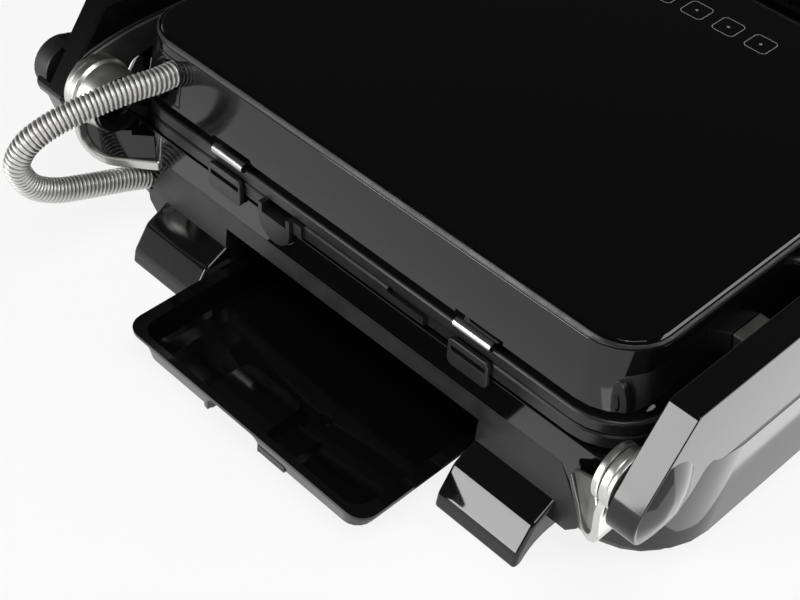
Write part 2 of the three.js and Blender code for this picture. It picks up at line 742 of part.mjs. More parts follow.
// One arm of the U handle: a deep flat bar whose rear end drops round the pivot as a lobe.
function makeArm(side) {
  const { inner, outer, top, bottom, front } = ARM;
  const shape = new THREE.Shape();
  shape.moveTo(-2, top);
  shape.lineTo(27.5, 80);
  shape.quadraticCurveTo(28.4, 78.6, 28, 77);
  shape.lineTo(24.8, 65.6);
  shape.quadraticCurveTo(23.8, 63.4, 19, 63);
  shape.bezierCurveTo(8, 62, -3, 66, -9, 73);
  shape.quadraticCurveTo(-12, 76.5, -14, 79.5);
  shape.quadraticCurveTo(-17, 82.5, -20, 81.5);
  shape.quadraticCurveTo(-24, 77.3, -32, bottom);
  shape.lineTo(-232, bottom);
  shape.quadraticCurveTo(-262, 79, front + 8, 90);
  shape.quadraticCurveTo(front, 94, front, 101);
  shape.quadraticCurveTo(front, 111, front + 12, 114.5);
  shape.quadraticCurveTo(-268, top, -246, top);
  const bar = alongX(shape, inner, outer, 1.3, 5);
  const { radius, root, outer: face } = LOBE;
  const domed = [
    [0, root],
    [radius, root],
    [radius, outer],
    [15, outer + 1.6],
    [12.5, outer + 3.2],
    [9, outer + 4.8],
    [5, outer + 5.9],
    [0, face],
  ];
  const flat = [[0, root], [radius, root], [radius, face - 1.2], [radius - 1.2, face], [0, face]];
  const turned = turnedX(side === "left" ? domed : flat, 0, PIVOT.y, PIVOT.z, 28);
  const boss = turned.intersect(alongX(shape, inner, face + 1, 0, 5));
  const lobe = join(bar, boss);
  const pocket = pivotRod(BUTTON.radius + GAP, BUTTON.seat, 200, 28);
  const springBore = pivotRod(BUTTON.stem + 2.4, 177.6, 190);
  const bored = cut(lobe, pivotRod(BORE_RADIUS, 160, 177.4), pinSlot(LID_PIN.radius + GAP));
  return side === "right" ? cut(bored, pocket, springBore) : bored;
}

const GRIP = { rear: -268, bottom: 91, top: 117 };

// The grip bar between the arms, with a fuller rear edge for the fingers.
function makeGrip() {
  const shape = new THREE.Shape();
  const front = ARM.front + 1;
  const { rear, bottom, top } = GRIP;
  shape.moveTo(rear - 6, bottom);
  shape.quadraticCurveTo(rear, bottom, rear, bottom + 7);
  shape.quadraticCurveTo(rear, top, rear - 7, top);
  shape.quadraticCurveTo(front + 3, top, front, 104);
  shape.quadraticCurveTo(front, bottom + 2, front + 9, bottom);
  return alongX(shape, -ARM.inner + GAP, ARM.inner - GAP, 0.8, 7);
}

function makeLidPin() {
  const profile = [
    [0, 0],
    [6.5, 0],
    [6.5, 2.4],
    [LID_PIN.radius, 3.4],
    [LID_PIN.radius, 19.4],
    [3.4, 20],
    [0, 20],
  ];
  const pin = turnedX(profile, LID_PIN.tip - 20, LID_PIN.y, LID_PIN.z, 20);
  return pin.subtract(lidSolid(GAP));
}

// Round push button that stands out of the right arm's lobe and frees the hinge.
const BUTTON = { radius: 14, seat: 181.2, outer: LOBE.outer + 5.5, travel: 3, stem: 4 };

function makeHingeButton() {
  const { radius, seat, outer, travel, stem } = BUTTON;
  const back = seat + travel + GAP;
  const profile = [
    [0, -3.2],
    [stem, -3.2],
    [stem, 0],
    [radius, 0],
    [radius, outer - back - 1.2],
    [radius - 1.4, outer - back],
    [0, outer - back - 0.5],
  ];
  return turnedX(profile, back, PIVOT.y, PIVOT.z, 28);
}

// A helical compression spring along X or Y, drawn at its working length.
function spring(axis, start, length, radius, wire, turns, a, b) {
  const points = [];
  const count = turns * 8;
  for (let i = 0; i <= count; i++) {
    const angle = (i / 8) * 2 * Math.PI;
    const along = start + (length * i) / count;
    const u = a + radius * Math.cos(angle);
    const v = b + radius * Math.sin(angle);
    points.push(axis === "x" ? [along, u, v] : [u, along, v]);
  }
  return tube(points, wire, count, 5);
}

// ---------------------------------------------------------------- lid

const CORNER_COVER = { left: 115.2, front: -30, bottom: 90.2, top: 112 };
const CONDUIT_LID_HOLE = { x: 123, z: 104.1, radius: 7.1 };

function cornerBlock(extra) {
  const { left, front, bottom, top } = CORNER_COVER;
  return box(left + extra, 165, front + extra, 5, bottom + extra, top - extra);
}

function makeLidCover() {
  const hollow = loft([
    { ...lidRing(LID_BOTTOM, -WALL), z: LID_BOTTOM - 1 },
    lidRing(102, -WALL),
    lidRing(LID_DECK - WALL, -WALL),
  ]);
  const keyWindow = alongZ(roundedBox(-78, 78, -226, -150, 6), LID_DECK - WALL - 1, LID_DECK + 1, 0, 3);
  const clipRecess = (s) => onSide(s, box(64.5, 91, -WALL - 2, 1, LID_BOTTOM - 1, LID_BOTTOM + 1.6));
  const button = box(-23.5, 23.5, LID_FRONT - 1, LID_FRONT + 12, 92.5, 102.5);
  const shell = cut(lidSolid(), hollow, keyWindow, clipRecess(-1), clipRecess(1), button);
  return shell.subtract(cornerBlock(0));
}

// The small removable cover at the lid's rear right corner, with the conduit's hole in it.
function makeConduitCover() {
  const hollow = loft([{ ...lidRing(LID_BOTTOM, -WALL), z: LID_BOTTOM - 1 }, lidRing(112, -WALL)]);
  const wall = lidSolid().subtract(hollow).intersect(cornerBlock(GAP));
  const hole = rodY(CONDUIT_LID_HOLE.radius, -14, 2, CONDUIT_LID_HOLE.x, CONDUIT_LID_HOLE.z, 20);
  return wall.subtract(hole);
}

function makeGlassTop() {
  const inset = GLASS_INSET;
  return loft([
    plateRing(LID_DECK + GAP, inset + 0.4),
    plateRing(GLASS_TOP - 1, inset + 0.4),
    plateRing(GLASS_TOP, inset + 1.4),
  ]);
}

// The narrow bevelled frame that carries the glass.
function makeGlassFrame() {
  const outer = loft([
    { ...lidRing(LID_DECK), z: LID_DECK + GAP },
    plateRing(GLASS_TOP - 1.6, LID.taper + 0.5),
    plateRing(GLASS_TOP - 0.5, LID.taper + 1.4),
  ]);
  const opening = loft([plateRing(LID_DECK - 1, GLASS_INSET), plateRing(GLASS_TOP + 1, GLASS_INSET)]);
  return outer.subtract(opening);
}

// The pan inside the lid, which carries the upper plate.
function makeLidLiner() {
  const setBack = { front: LID_FRONT + 14 };
  const outer = loft([
    { ...plateRing(UPPER_PLATE.top + 0.4, 6.6), ...setBack },
    { ...plateRing(95.8, 8), ...setBack },
  ]);
  const setIn = { front: LID_FRONT + 15.6 };
  const hollow = loft([
    { ...plateRing(UPPER_PLATE.top - 1, 8.2), ...setIn },
    { ...plateRing(94.3, 9.6), ...setIn },
  ]);
  return outer.subtract(hollow);
}

function makeUpperPlate() {
  const { bottom, top } = UPPER_PLATE;
  const outer = loft([
    plateRing(bottom, 0.8),
    plateRing(bottom + 0.8),
    plateRing(top - 1),
    plateRing(top, 1),
  ]);
  return ribbedPlate(outer, bottom, -3.4);
}

// A sprung steel clip whose rolled rear edge shows behind the plates.
function makePlateClip(s) {
  const x = s * CLIP_X;
  const shape = new THREE.Shape();
  const roll = { y: 1.2, z: 84.8, r: 2.4 };
  shape.moveTo(-6, 83);
  shape.lineTo(roll.y - 1.9, 83);
  shape.absarc(roll.y, roll.z, roll.r, 1.25 * Math.PI, 2.85 * Math.PI);
  shape.lineTo(-4.7, 84.6);
  shape.lineTo(-4.7, 93);
  shape.lineTo(-6, 93);
  return alongX(shape, x - 10.5, x + 10.5, 0, 6);
}

function makeControlBoard() {
  const board = box(-72, 72, -222, -154, 110.4, 112);
  const display = box(-30, 30, -205, -175, 111.5, LID_DECK - 0.2);
  const keys = [-60, -45, 45, 60].map((x) => box(x - 5, x + 5, -215, -205, 111.5, LID_DECK - 0.2));
  const socket = box(50, 66, -168, -158, 103, 111);
  return join(board, display, socket, ...keys);
}

// A plate release button: a rounded cap in the front wall with a hook behind it.
function makePlateRelease(front, low, high, hookZ) {
  const middle = (low + high) / 2;
  const cap = alongY(roundedBox(-22.8, 22.8, low, high, 3), front - 4, front + 4, 1, 4);
  const stem = box(-8, 8, front + 3, front + 7, middle - 3, middle + 3);
  const hook = box(-8, 8, front + 6, front + 8, Math.min(hookZ, middle), Math.max(hookZ, middle));
  return join(cap, stem, hook);
}

// ---------------------------------------------------------------- drip tray

function makeDripTray() {
  const { rear, front, halfWidth, bottom, rim, radius } = TRAY;
  const { side, end, thickness } = TRAY_FLANGE;
  const level = (z, inset) => ({
    halfWidth: halfWidth - inset,
    front: front + inset,
    rear: rear - end - inset,
    radius: radius + 1 - Math.min(inset, 3) * 0.6,
    z,
  });
  const flange = { halfWidth: halfWidth + side, front: front - end, rear, radius, z: rim - thickness };
  const body = loft([level(bottom, 4), level(bottom + 1.8, 2.4), level(rim - 1, 0)], 5);
  const outer = join(body, loft([flange, { ...flange, z: rim }], 5));
  const inside = loft([level(bottom + 2, 6), level(bottom + 3.8, 4), level(rim + 1, 1.8)], 5);
  // Shallow step across the floor, and the finger recess pressed up under the rear edge.
  const floorStep = polygon([[front + 6, bottom + 1], [17, bottom + 1], [9, 6.6], [front + 6, 6.6]]);
  const step = alongX(floorStep, 6 - halfWidth, halfWidth - 6).intersect(body);
  const bump = loft([
    { halfWidth: 22, front: 32, rear: rear - 3, radius: 5, z: bottom + 1 },
    { halfWidth: 19, front: 35, rear: rear - 3, radius: 5, z: 13.6 },
  ], 4).translate([8.5, 0, 0]);
  const shoulder = box(-27, -8, 40, rear - 3.4, bottom + 1, 7.6);
  const recess = alongY(roundedBox(-9.5, 24.5, -6, 11.8, 4), 37.5, rear - 2, 0, 4);
  const mark = turnedZ([[0, bottom + 1], [3.2, bottom + 1], [3.2, 5.6], [0, 5.6]], -17, 28, 14);
  return join(outer.subtract(inside), step, bump, shoulder, mark).subtract(recess);
}

// ---------------------------------------------------------------- conduit

function makeBush({ x, z }, outer, y0, y1) {
  const inner = CONDUIT_RADIUS + GAP;
  const profile = [[inner, 0], [outer, 0], [outer, y1 - y0], [inner, y1 - y0], [inner, 0]];
  const points = profile.map(([radius, along]) => new THREE.Vector2(radius, along));
  return solid(new THREE.LatheGeometry(points, 20).translate(x, y0, z));
}

// ---------------------------------------------------------------- assembly

piece("base_shell", makeBaseShell(), "blackGloss");
piece("base_pan", makeBasePan(), "blackMatt");
piece("lower_plate", makeLowerPlate(), "castIron");
piece("lower_heater", heater(60.5, -226), "steel");
piece("lower_reflector", reflector(50, 58.5, 12, false), "aluminium");
piece("power_board", makePowerBoard(), "board");
piece("cord_gland", makeCordGland(), "rubber");
SCREWS.forEach((place, i) => piece(`base_screw_${i + 1}`, makeBaseScrew(place), "steel"));

piece("drip_tray", makeDripTray(), "blackGloss");

piece("lid_cover", makeLidCover(), "blackGloss");
piece("conduit_cover", makeConduitCover(), "blackGloss");
piece("glass_top", makeGlassTop(), "blackGlass");
piece("glass_frame", makeGlassFrame(), "steel");
piece("lid_liner", makeLidLiner(), "blackMatt");
piece("upper_plate", makeUpperPlate(), "castIron");
piece("upper_heater", heater(86.4, -226), "steel");
piece("upper_reflector", reflector(84, 93.6, 17, true), "aluminium");
piece("control_board", makeControlBoard(), "board");

for (const { side, s } of SIDES) {
  piece(`rear_foot_${side}`, onSide(s, makeRearFoot()), "blackGloss");
  piece(`front_foot_${side}`, onSide(s, makeFrontFoot()), "rubber");
  piece(`plate_tongue_${side}`, makePlateTongue(s), "blackMatt");
  piece(`plate_clip_${side}`, makePlateClip(s), "chrome");
  piece(`hinge_bracket_${side}`, onSide(s, makeHingeBracket(side)), "dieCast");
  piece(`hinge_post_${side}`, onSide(s, makeHingePost(side)), "blackGloss");
  piece(`hinge_pin_${side}`, onSide(s, makeHingePin(side)), "steel");
  piece(`hinge_drum_${side}`, onSide(s, makeHingeDrum(side)), "dieCast");
  piece(`lid_hinge_${side}`, onSide(s, makeLidHinge()), "blackMatt");
  piece(`lid_pin_${side}`, onSide(s, makeLidPin()), "chrome");
  piece(`arm_${side}`, onSide(s, makeArm(side)), "blackGloss");
}
piece("grip_bar", makeGrip(), "blackGloss");

piece("hinge_button", makeHingeButton(), "blackMatt");
piece("plate_release_upper", makePlateRelease(LID_FRONT, 93, 102, 84), "blackMatt");
piece("plate_release_lower", makePlateRelease(BODY_FRONT, 50, 59, 61.6), "blackMatt");
piece("hinge_spring", spring("x", 178.1, 3.6, 5.4, 0.45, 2, PIVOT.y, PIVOT.z), "steel");

piece("conduit", tube(CONDUIT_ROUTE, CONDUIT_RADIUS, 40, 10), "steel");
piece("conduit_bush_base", makeBush(CONDUIT_BASE_HOLE, 7.15, -7.4, -3.4), "blackMatt");
piece("conduit_bush_lid", makeBush(CONDUIT_LID_HOLE, 7.85, -12, -8.4), "blackMatt");

// The origin is under the middle of the whole: from arm to release button, and from the
// grip's front to the conduit's bend.
const bounds = new THREE.Box3().setFromObject(group);
group.position.x = -(bounds.min.x + bounds.max.x) / 2;
group.position.y = -(bounds.min.y + bounds.max.y) / 2;

export default group;
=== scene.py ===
# %% [markdown]
# # An electric contact grill, finished in Blender
# The grill's solids come from a CAD model, in metres, with +Z up and the user's side at -Y.
# This lesson gives them their real surfaces: glossy black mouldings, a glass lid, die-cast
# hinges, rolled steel clips and an armoured conduit. Each step says what the real piece is,
# how it could be made here, and why this way was chosen.

# %% Load the CAD frame
import json
import math
import bpy
import bmesh
from mathutils import Vector, Matrix


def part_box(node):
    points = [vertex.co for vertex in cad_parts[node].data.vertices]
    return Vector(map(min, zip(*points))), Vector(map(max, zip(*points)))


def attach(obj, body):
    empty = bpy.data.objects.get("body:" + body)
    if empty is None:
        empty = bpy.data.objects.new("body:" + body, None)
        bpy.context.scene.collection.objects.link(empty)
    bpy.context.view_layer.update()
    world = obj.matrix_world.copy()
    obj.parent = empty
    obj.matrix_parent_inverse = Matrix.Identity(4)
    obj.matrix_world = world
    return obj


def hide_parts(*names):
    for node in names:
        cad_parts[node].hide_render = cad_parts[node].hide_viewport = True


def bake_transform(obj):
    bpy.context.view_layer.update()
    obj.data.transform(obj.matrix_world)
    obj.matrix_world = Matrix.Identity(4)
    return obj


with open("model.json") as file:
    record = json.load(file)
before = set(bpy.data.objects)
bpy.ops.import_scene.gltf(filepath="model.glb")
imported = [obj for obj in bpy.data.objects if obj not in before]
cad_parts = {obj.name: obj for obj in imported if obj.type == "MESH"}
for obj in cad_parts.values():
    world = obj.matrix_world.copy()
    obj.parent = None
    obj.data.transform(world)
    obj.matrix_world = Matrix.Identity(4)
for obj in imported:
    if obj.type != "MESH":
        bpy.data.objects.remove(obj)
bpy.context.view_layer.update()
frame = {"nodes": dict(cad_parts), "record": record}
nodes = frame["nodes"]

# %% [markdown]
# ## Where things are
# The CAD file is drawn with x = 0 on the lid's middle and y = 0 on the body's rear wall, and is
# centred when it is packed. Two nodes give that shift back: the lid cover is symmetrical, and
# the conduit's inner end is cut off 12 mm inside the rear wall. With `place`, the sizes below
# can be written in the same millimetres as the drawing.

# %% From drawing millimetres to frame metres
MM = 0.001
lid_low, lid_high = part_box("lid_cover")
SHIFT = Vector(((lid_low.x + lid_high.x) / 2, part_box("conduit")[0].y + 12 * MM, 0))

def place(x, y, z):
    return Vector((x, y, z)) * MM + SHIFT

print("shift in mm:", tuple(round(c * 1000, 3) for c in SHIFT))

# %% [markdown]
# ## The camera
# A long lens looks down on the rear left corner from about forty-four degrees. A slight roll
# is kept, so the camera's axes are built from the viewing direction and then turned.

# %% Camera
VIEW_FROM = Vector((-0.38355, 0.47007, 0.5495))
VIEW_ALONG = Vector((0.503, -0.520, -0.690)).normalized()
ROLL = math.radians(2.5)

def camera_matrix(spot, along, roll):
    level_right = along.cross(Vector((0, 0, 1))).normalized()
    level_up = level_right.cross(along)
    right = math.cos(roll) * level_right + math.sin(roll) * level_up
    up = math.cos(roll) * level_up - math.sin(roll) * level_right
    axes = Matrix((right, up, -along)).transposed().to_4x4()
    return Matrix.Translation(spot) @ axes

lens = bpy.data.cameras.new("grill_view")
lens.lens = 73.1
lens.sensor_width = 36
lens.clip_start, lens.clip_end = 0.01, 20
camera = bpy.data.objects.new("grill_view", lens)
bpy.context.scene.collection.objects.link(camera)
camera.matrix_world = camera_matrix(VIEW_FROM, VIEW_ALONG, ROLL)
bpy.context.scene.camera = camera
print("camera at", tuple(round(c, 3) for c in camera.location))

# %% [markdown]
# ## Colour and material helpers
# Colours are written as sRGB hex, the way a paint card gives them, and turned to the linear
# values that Blender mixes. One small function adds a node, sets it and links it. Every pattern
# reads object coordinates, which are metres here, so a size in millimetres becomes a scale
# with `per_mm`.

# %% Helpers for colour and nodes
def linear(hex_colour):
    channels = [int(hex_colour[i:i + 2], 16) / 255 for i in (0, 2, 4)]
    return (*[c / 12.92 if c <= 0.04045 else ((c + 0.055) / 1.055) ** 2.4 for c in channels], 1)

def add(tree, kind, settings=None, **links):
    node = tree.nodes.new(kind)
    for name, value in (settings or {}).items():
        if hasattr(node, name):
            setattr(node, name, value)
        else:
            node.inputs[name].default_value = value
    for name, source in links.items():
        tree.links.new(source, node.inputs[name.replace("_", " ")])
    return node

def per_mm(size):
    return 1000 / size

COLOUR_A, COLOUR_B, MIXED = 6, 7, 2  # a Mix node's colour sockets, which share their names

def new_material(name, **settings):
    material = bpy.data.materials.new(name)
    material.use_nodes = True
    tree = material.node_tree
    shader = tree.nodes["Principled BSDF"]
    for key, value in settings.items():
        socket = "IOR" if key == "ior" else key.replace("_", " ").title()
        shader.inputs[socket].default_value = linear(value) if isinstance(value, str) else value
    spot = add(tree, "ShaderNodeTexCoord").outputs["Object"]
    return material, tree, shader, spot

# %% [markdown]
# Most finishes need the same two things: a roughness that wanders between two values, as wiped
# and handled surfaces do, and a faint relief. Both are noise, each at its own size in
# millimetres. The relief's height is given in micrometres.

# %% Helpers for wandering roughness and relief
def vary(tree, spot, size, low, high):
    cloud = add(tree, "ShaderNodeTexNoise", {"Scale": per_mm(size), "Detail": 3.0}, Vector=spot)
    span = add(tree, "ShaderNodeMapRange",
               {"From Min": 0.3, "From Max": 0.7, "To Min": low, "To Max": high},
               Value=cloud.outputs["Fac"])
    return span.outputs["Result"]

def relief(tree, height, micrometres):
    bump = add(tree, "ShaderNodeBump", {"Strength": 1.0, "Distance": micrometres * 1e-6},
               Height=height)
    return bump.outputs["Normal"]

def wire(tree, shader, **links):
    for name, source in links.items():
        tree.links.new(source, shader.inputs[name.replace("_", " ")])

# %% [markdown]
# ## Glossy black ABS
# The shells, arms, feet and tray are ABS, injection moulded in polished tools. The skin is
# nearly black and mirror-like, but not optical glass: slow waves from shrinkage bend its
# reflections, wiping leaves faint hazy patches, and a little dust shows against the black.

# %% Glossy ABS
gloss_black, tree, shader, spot = new_material(
    "moulded_glossy_black_abs", base_color="0a0a0b", ior=1.54)
haze = vary(tree, spot, 38, 0.045, 0.1)
waves = add(tree, "ShaderNodeTexNoise", {"Scale": per_mm(14), "Detail": 1.0}, Vector=spot)
skin = relief(tree, waves.outputs["Fac"], 5)
wire(tree, shader, Roughness=haze, Normal=skin)
dust = add(tree, "ShaderNodeTexVoronoi", {"Scale": per_mm(5), "Randomness": 1.0}, Vector=spot)
specks = add(tree, "ShaderNodeMapRange",
             {"From Min": 0.0, "From Max": 0.03, "To Min": 1.0, "To Max": 0.0},
             Value=dust.outputs["Distance"])
tint = add(tree, "ShaderNodeMix", {"data_type": "RGBA"}, Factor=specks.outputs["Result"])
tint.inputs[COLOUR_A].default_value = linear("0a0a0b")
tint.inputs[COLOUR_B].default_value = linear("2c2c2c")
tree.links.new(tint.outputs[MIXED], shader.inputs["Base Color"])
print("made", gloss_black.name)

# %% [markdown]
# ## Matt black nylon
# The frame around the glass and the hidden structural mouldings are glass-filled nylon from
# spark-eroded tools. The grain is about 0.3 mm; it is drawn at 0.6 mm so that it still shows in
# a render of the whole object.

# %% Matt nylon
matt_black, tree, shader, spot = new_material(
    "spark_grained_black_nylon", base_color="161617", ior=1.53)
grain = add(tree, "ShaderNodeTexNoise", {"Scale": per_mm(0.6), "Detail": 2.0}, Vector=spot)
wire(tree, shader, Roughness=vary(tree, spot, 9, 0.36, 0.5),
     Normal=relief(tree, grain.outputs["Fac"], 18))
print("made", matt_black.name)

# %% [markdown]
# ## Tempered glass, printed black on the back
# The lid's top is float glass with black enamel fired onto its underside, so the eye sees a deep
# black under a flawless mirror. It is drawn as an opaque dielectric: the enamel is the base
# colour and the glass face is the specular layer. Wiping leaves only the faintest smears.

# %% Back-printed glass
glass_black, tree, shader, spot = new_material(
    "back_enamelled_tempered_glass", base_color="040405", ior=1.52)
wire(tree, shader, Roughness=vary(tree, spot, 60, 0.012, 0.03))
print("made", glass_black.name)

# %% [markdown]
# ## Non-stick coating on cast aluminium
# The ribbed plates are cast aluminium under a sprayed PTFE coat: charcoal, softly lustrous, with
# pale flecks of filler and the slight orange peel of a sprayed film.

# %% Non-stick plates
nonstick, tree, shader, spot = new_material(
    "sprayed_nonstick_on_cast_aluminium", base_color="1a1a1a", ior=1.45)
flecks = add(tree, "ShaderNodeTexVoronoi", {"Scale": per_mm(1.6)}, Vector=spot)
pale = add(tree, "ShaderNodeMapRange",
           {"From Min": 0.05, "From Max": 0.16, "To Min": 1.0, "To Max": 0.0},
           Value=flecks.outputs["Distance"])
coat = add(tree, "ShaderNodeMix", {"data_type": "RGBA"}, Factor=pale.outputs["Result"])
coat.inputs[COLOUR_A].default_value = linear("18181a")
coat.inputs[COLOUR_B].default_value = linear("3a3a3c")
tree.links.new(coat.outputs[MIXED], shader.inputs["Base Color"])
peel = add(tree, "ShaderNodeTexNoise", {"Scale": per_mm(2.5), "Detail": 3.0}, Vector=spot)
wire(tree, shader, Roughness=vary(tree, spot, 12, 0.3, 0.42),
     Normal=relief(tree, peel.outputs["Fac"], 14))
print("made", nonstick.name)

# %% [markdown]
# ## Satin die-cast zinc
# The hinge brackets, the bell and the hinge plates are zinc alloy, die cast, tumbled and plated
# to a satin silver. The casting skin stays a little mottled, which breaks up its broad
# highlights.

# %% Die-cast zinc
die_cast, tree, shader, spot = new_material(
    "satin_plated_die_cast_zinc", base_color="cfcfcc", metallic=1.0)
mottle = vary(tree, spot, 9, 0.32, 0.4)
skin = add(tree, "ShaderNodeTexNoise", {"Scale": per_mm(1.2), "Detail": 4.0}, Vector=spot)
wire(tree, shader, Roughness=mottle, Normal=relief(tree, skin.outputs["Fac"], 3))
print("made", die_cast.name)

# %% [markdown]
# ## Rolled, chromed spring steel
# The edge of each plate clip is covered by strip steel, rolled over and chromed. Chrome follows
# every drawing line of the strip, so its mirror has fine streaks along the roll.

# %% Chromed clips
chrome, tree, shader, spot = new_material(
    "chromed_rolled_strip", base_color="b4b4b4", metallic=1.0)
stretch = add(tree, "ShaderNodeMapping", {}, Vector=spot)
stretch.inputs["Scale"].default_value = (0.06, 1.0, 1.0)
streaks = add(tree, "ShaderNodeTexNoise", {"Scale": per_mm(0.7), "Detail": 3.0},
              Vector=stretch.outputs["Vector"])
wire(tree, shader, Roughness=vary(tree, stretch.outputs["Vector"], 0.7, 0.22, 0.36),
     Normal=relief(tree, streaks.outputs["Fac"], 6))
print("made", chrome.name)

# %% [markdown]
# ## Stainless strip, plain steel and mill aluminium
# The conduit is wound from stainless strip, the pins and screws are bright steel, and the
# reflectors are aluminium sheet as it leaves the rolling mill. All three are metals with their
# own grey, and each keeps the lines of the process that made it.

# %% Stainless strip
stainless, tree, shader, spot = new_material(
    "wound_stainless_strip", base_color="c2c1be", metallic=1.0)
wire(tree, shader, Roughness=vary(tree, spot, 3, 0.42, 0.55))
# Painted shade: the base colour runs from pale grey on the ridges to dark grey in the grooves, as
# the groove attribute rises.
groove_shade_mask = add(tree, "ShaderNodeAttribute", {"attribute_name": "groove"})
painted_groove_shade = add(tree, "ShaderNodeMix", {"data_type": "RGBA"}, Factor=groove_shade_mask.outputs["Fac"])
painted_groove_shade.inputs[COLOUR_A].default_value = linear("d6d5d3")
painted_groove_shade.inputs[COLOUR_B].default_value = linear("404040")
tree.links.new(painted_groove_shade.outputs[MIXED], shader.inputs["Base Color"])
print("made", stainless.name)

# %% Bright steel and mill aluminium
steel, tree, shader, spot = new_material(
    "turned_bright_steel", base_color="c4c4c2", metallic=1.0)
rings = add(tree, "ShaderNodeTexNoise", {"Scale": per_mm(0.8), "Detail": 2.0}, Vector=spot)
wire(tree, shader, Roughness=vary(tree, spot, 2, 0.2, 0.38),
     Normal=relief(tree, rings.outputs["Fac"], 5))

mill, tree, shader, spot = new_material(
    "mill_finish_aluminium", base_color="cfcfcd", metallic=1.0)
stretch = add(tree, "ShaderNodeMapping", {}, Vector=spot)
stretch.inputs["Scale"].default_value = (1.0, 0.05, 1.0)
wire(tree, shader, Roughness=vary(tree, stretch.outputs["Vector"], 0.9, 0.28, 0.5))
print("made", steel.name, mill.name)

# %% [markdown]
# ## Rubber, heater sheath and circuit board
# These are under or inside the body. The feet pads are moulded rubber, the heaters have an
# oxidised sheath, and the boards have green solder mask over copper tracks, whose edges show
# as slight ridges.

# %% Rubber
rubber, tree, shader, spot = new_material("moulded_black_rubber", base_color="1f1f20", ior=1.52)
bloom = add(tree, "ShaderNodeTexNoise", {"Scale": per_mm(0.8), "Detail": 3.0}, Vector=spot)
wire(tree, shader, Roughness=vary(tree, spot, 7, 0.66, 0.85),
     Normal=relief(tree, bloom.outputs["Fac"], 25))

# %% Heater sheath
sheath, tree, shader, spot = new_material(
    "oxidised_heater_sheath", base_color="3c3835", metallic=1.0)
scale = add(tree, "ShaderNodeTexNoise", {"Scale": per_mm(1.5), "Detail": 4.0}, Vector=spot)
wire(tree, shader, Roughness=vary(tree, spot, 6, 0.4, 0.62),
     Normal=relief(tree, scale.outputs["Fac"], 12))

# %% Circuit board
board, tree, shader, spot = new_material("green_masked_circuit_board", base_color="1d4a2c")
tracks = add(tree, "ShaderNodeTexBrick",
             {"Scale": per_mm(9), "Mortar Size": 0.05, "Mortar Smooth": 0.3}, Vector=spot)
tracks.inputs["Color1"].default_value = linear("1b4a2b")
tracks.inputs["Color2"].default_value = linear("16402a")
tracks.inputs["Mortar"].default_value = linear("3d7a4c")
tree.links.new(tracks.outputs["Color"], shader.inputs["Base Color"])
wire(tree, shader, Roughness=vary(tree, spot, 4, 0.3, 0.5),
     Normal=relief(tree, tracks.outputs["Fac"], 35))
print("made", rubber.name, sheath.name, board.name)

# %% [markdown]
# ## Giving every node its finish
# The record names a slot for each node. Here every slot gets one of the materials above, and a
# few nodes are picked out by name.

# %% Assign the finishes
FINISH = {
    "glossy_plastic": gloss_black, "matt_plastic": matt_black, "glass": glass_black,
    "cast_plate": nonstick, "die_cast": die_cast, "chrome": chrome, "steel": steel,
    "black_steel": sheath, "rubber": rubber, "board": board,
}
BY_NAME = {
    "glass_frame": matt_black, "upper_reflector": mill, "lower_reflector": mill,
    "hinge_post_left": gloss_black, "hinge_post_right": gloss_black,
    "lid_hinge_left": die_cast, "lid_hinge_right": die_cast,
    "plate_clip_left": gloss_black, "plate_clip_right": gloss_black,
}
slot_of = {part["node"]: part["material_slot"] for part in frame["record"]["subparts"]}
for name, node in nodes.items():
    node.data.materials.clear()
    node.data.materials.append(BY_NAME.get(name, FINISH[slot_of[name]]))
print("finished nodes:", len(nodes), "slots:", sorted(set(slot_of.values())))

# %% [markdown]
# ## Soft edges on the CAD solids
# No moulded or cast edge is knife sharp, and it is the rounded edge that catches the light. A
# node's own mesh may not change, so modifiers do it: flat triangles are merged into whole
# faces, edges are bevelled, and the shading is smoothed across curves but not across corners.
# Weighted normals keep the big flats flat, so that their reflections stay straight. The nodes
# that get a new mesh further down are left without a bevel.

# %% A smoothing step in geometry nodes
SHARP = 32  # degrees between faces, above which an edge counts as a corner
FLAT = 0.6  # degrees, below which triangles count as one flat face
smoothing = bpy.data.node_groups.new("smooth_across_curves", "GeometryNodeTree")
smoothing.interface.new_socket("Geometry", in_out="INPUT", socket_type="NodeSocketGeometry")
smoothing.interface.new_socket("Geometry", in_out="OUTPUT", socket_type="NodeSocketGeometry")
entry = add(smoothing, "NodeGroupInput")
angle = add(smoothing, "GeometryNodeInputMeshEdgeAngle")
corner = add(smoothing, "FunctionNodeCompare", {"data_type": "FLOAT", "operation": "GREATER_THAN"})
smoothing.links.new(angle.outputs["Unsigned Angle"], corner.inputs[0])
corner.inputs[1].default_value = math.radians(SHARP)
faces = add(smoothing, "GeometryNodeSetShadeSmooth", {"domain": "FACE"},
            Geometry=entry.outputs["Geometry"])
edges = add(smoothing, "GeometryNodeSetShadeSmooth", {"domain": "EDGE"},
            Geometry=faces.outputs["Geometry"], Selection=corner.outputs["Result"])
edges.inputs["Shade Smooth"].default_value = False
add(smoothing, "NodeGroupOutput", {}, Geometry=edges.outputs["Geometry"])

def smooth(piece):
    step = piece.modifiers.new("smooth_across_curves", "NODES")
    step.node_group = smoothing
    even = piece.modifiers.new("even_normals", "WEIGHTED_NORMAL")
    even.mode = "FACE_AREA"
    even.keep_sharp = True

# %% Bevel widths, in millimetres
def soften(piece, width, segments=2, angle=SHARP):
    weld = piece.modifiers.new("weld", "WELD")
    weld.merge_threshold = 2e-6
    flats = piece.modifiers.new("whole_faces", "DECIMATE")
    flats.decimate_type = "DISSOLVE"
    flats.angle_limit = math.radians(FLAT)
    if width:
        bevel = piece.modifiers.new("rounded_edges", "BEVEL")
        bevel.width = width * MM
        bevel.segments = segments
        bevel.limit_method = "ANGLE"
        bevel.angle_limit = math.radians(angle)
        bevel.use_clamp_overlap = True
    smooth(piece)

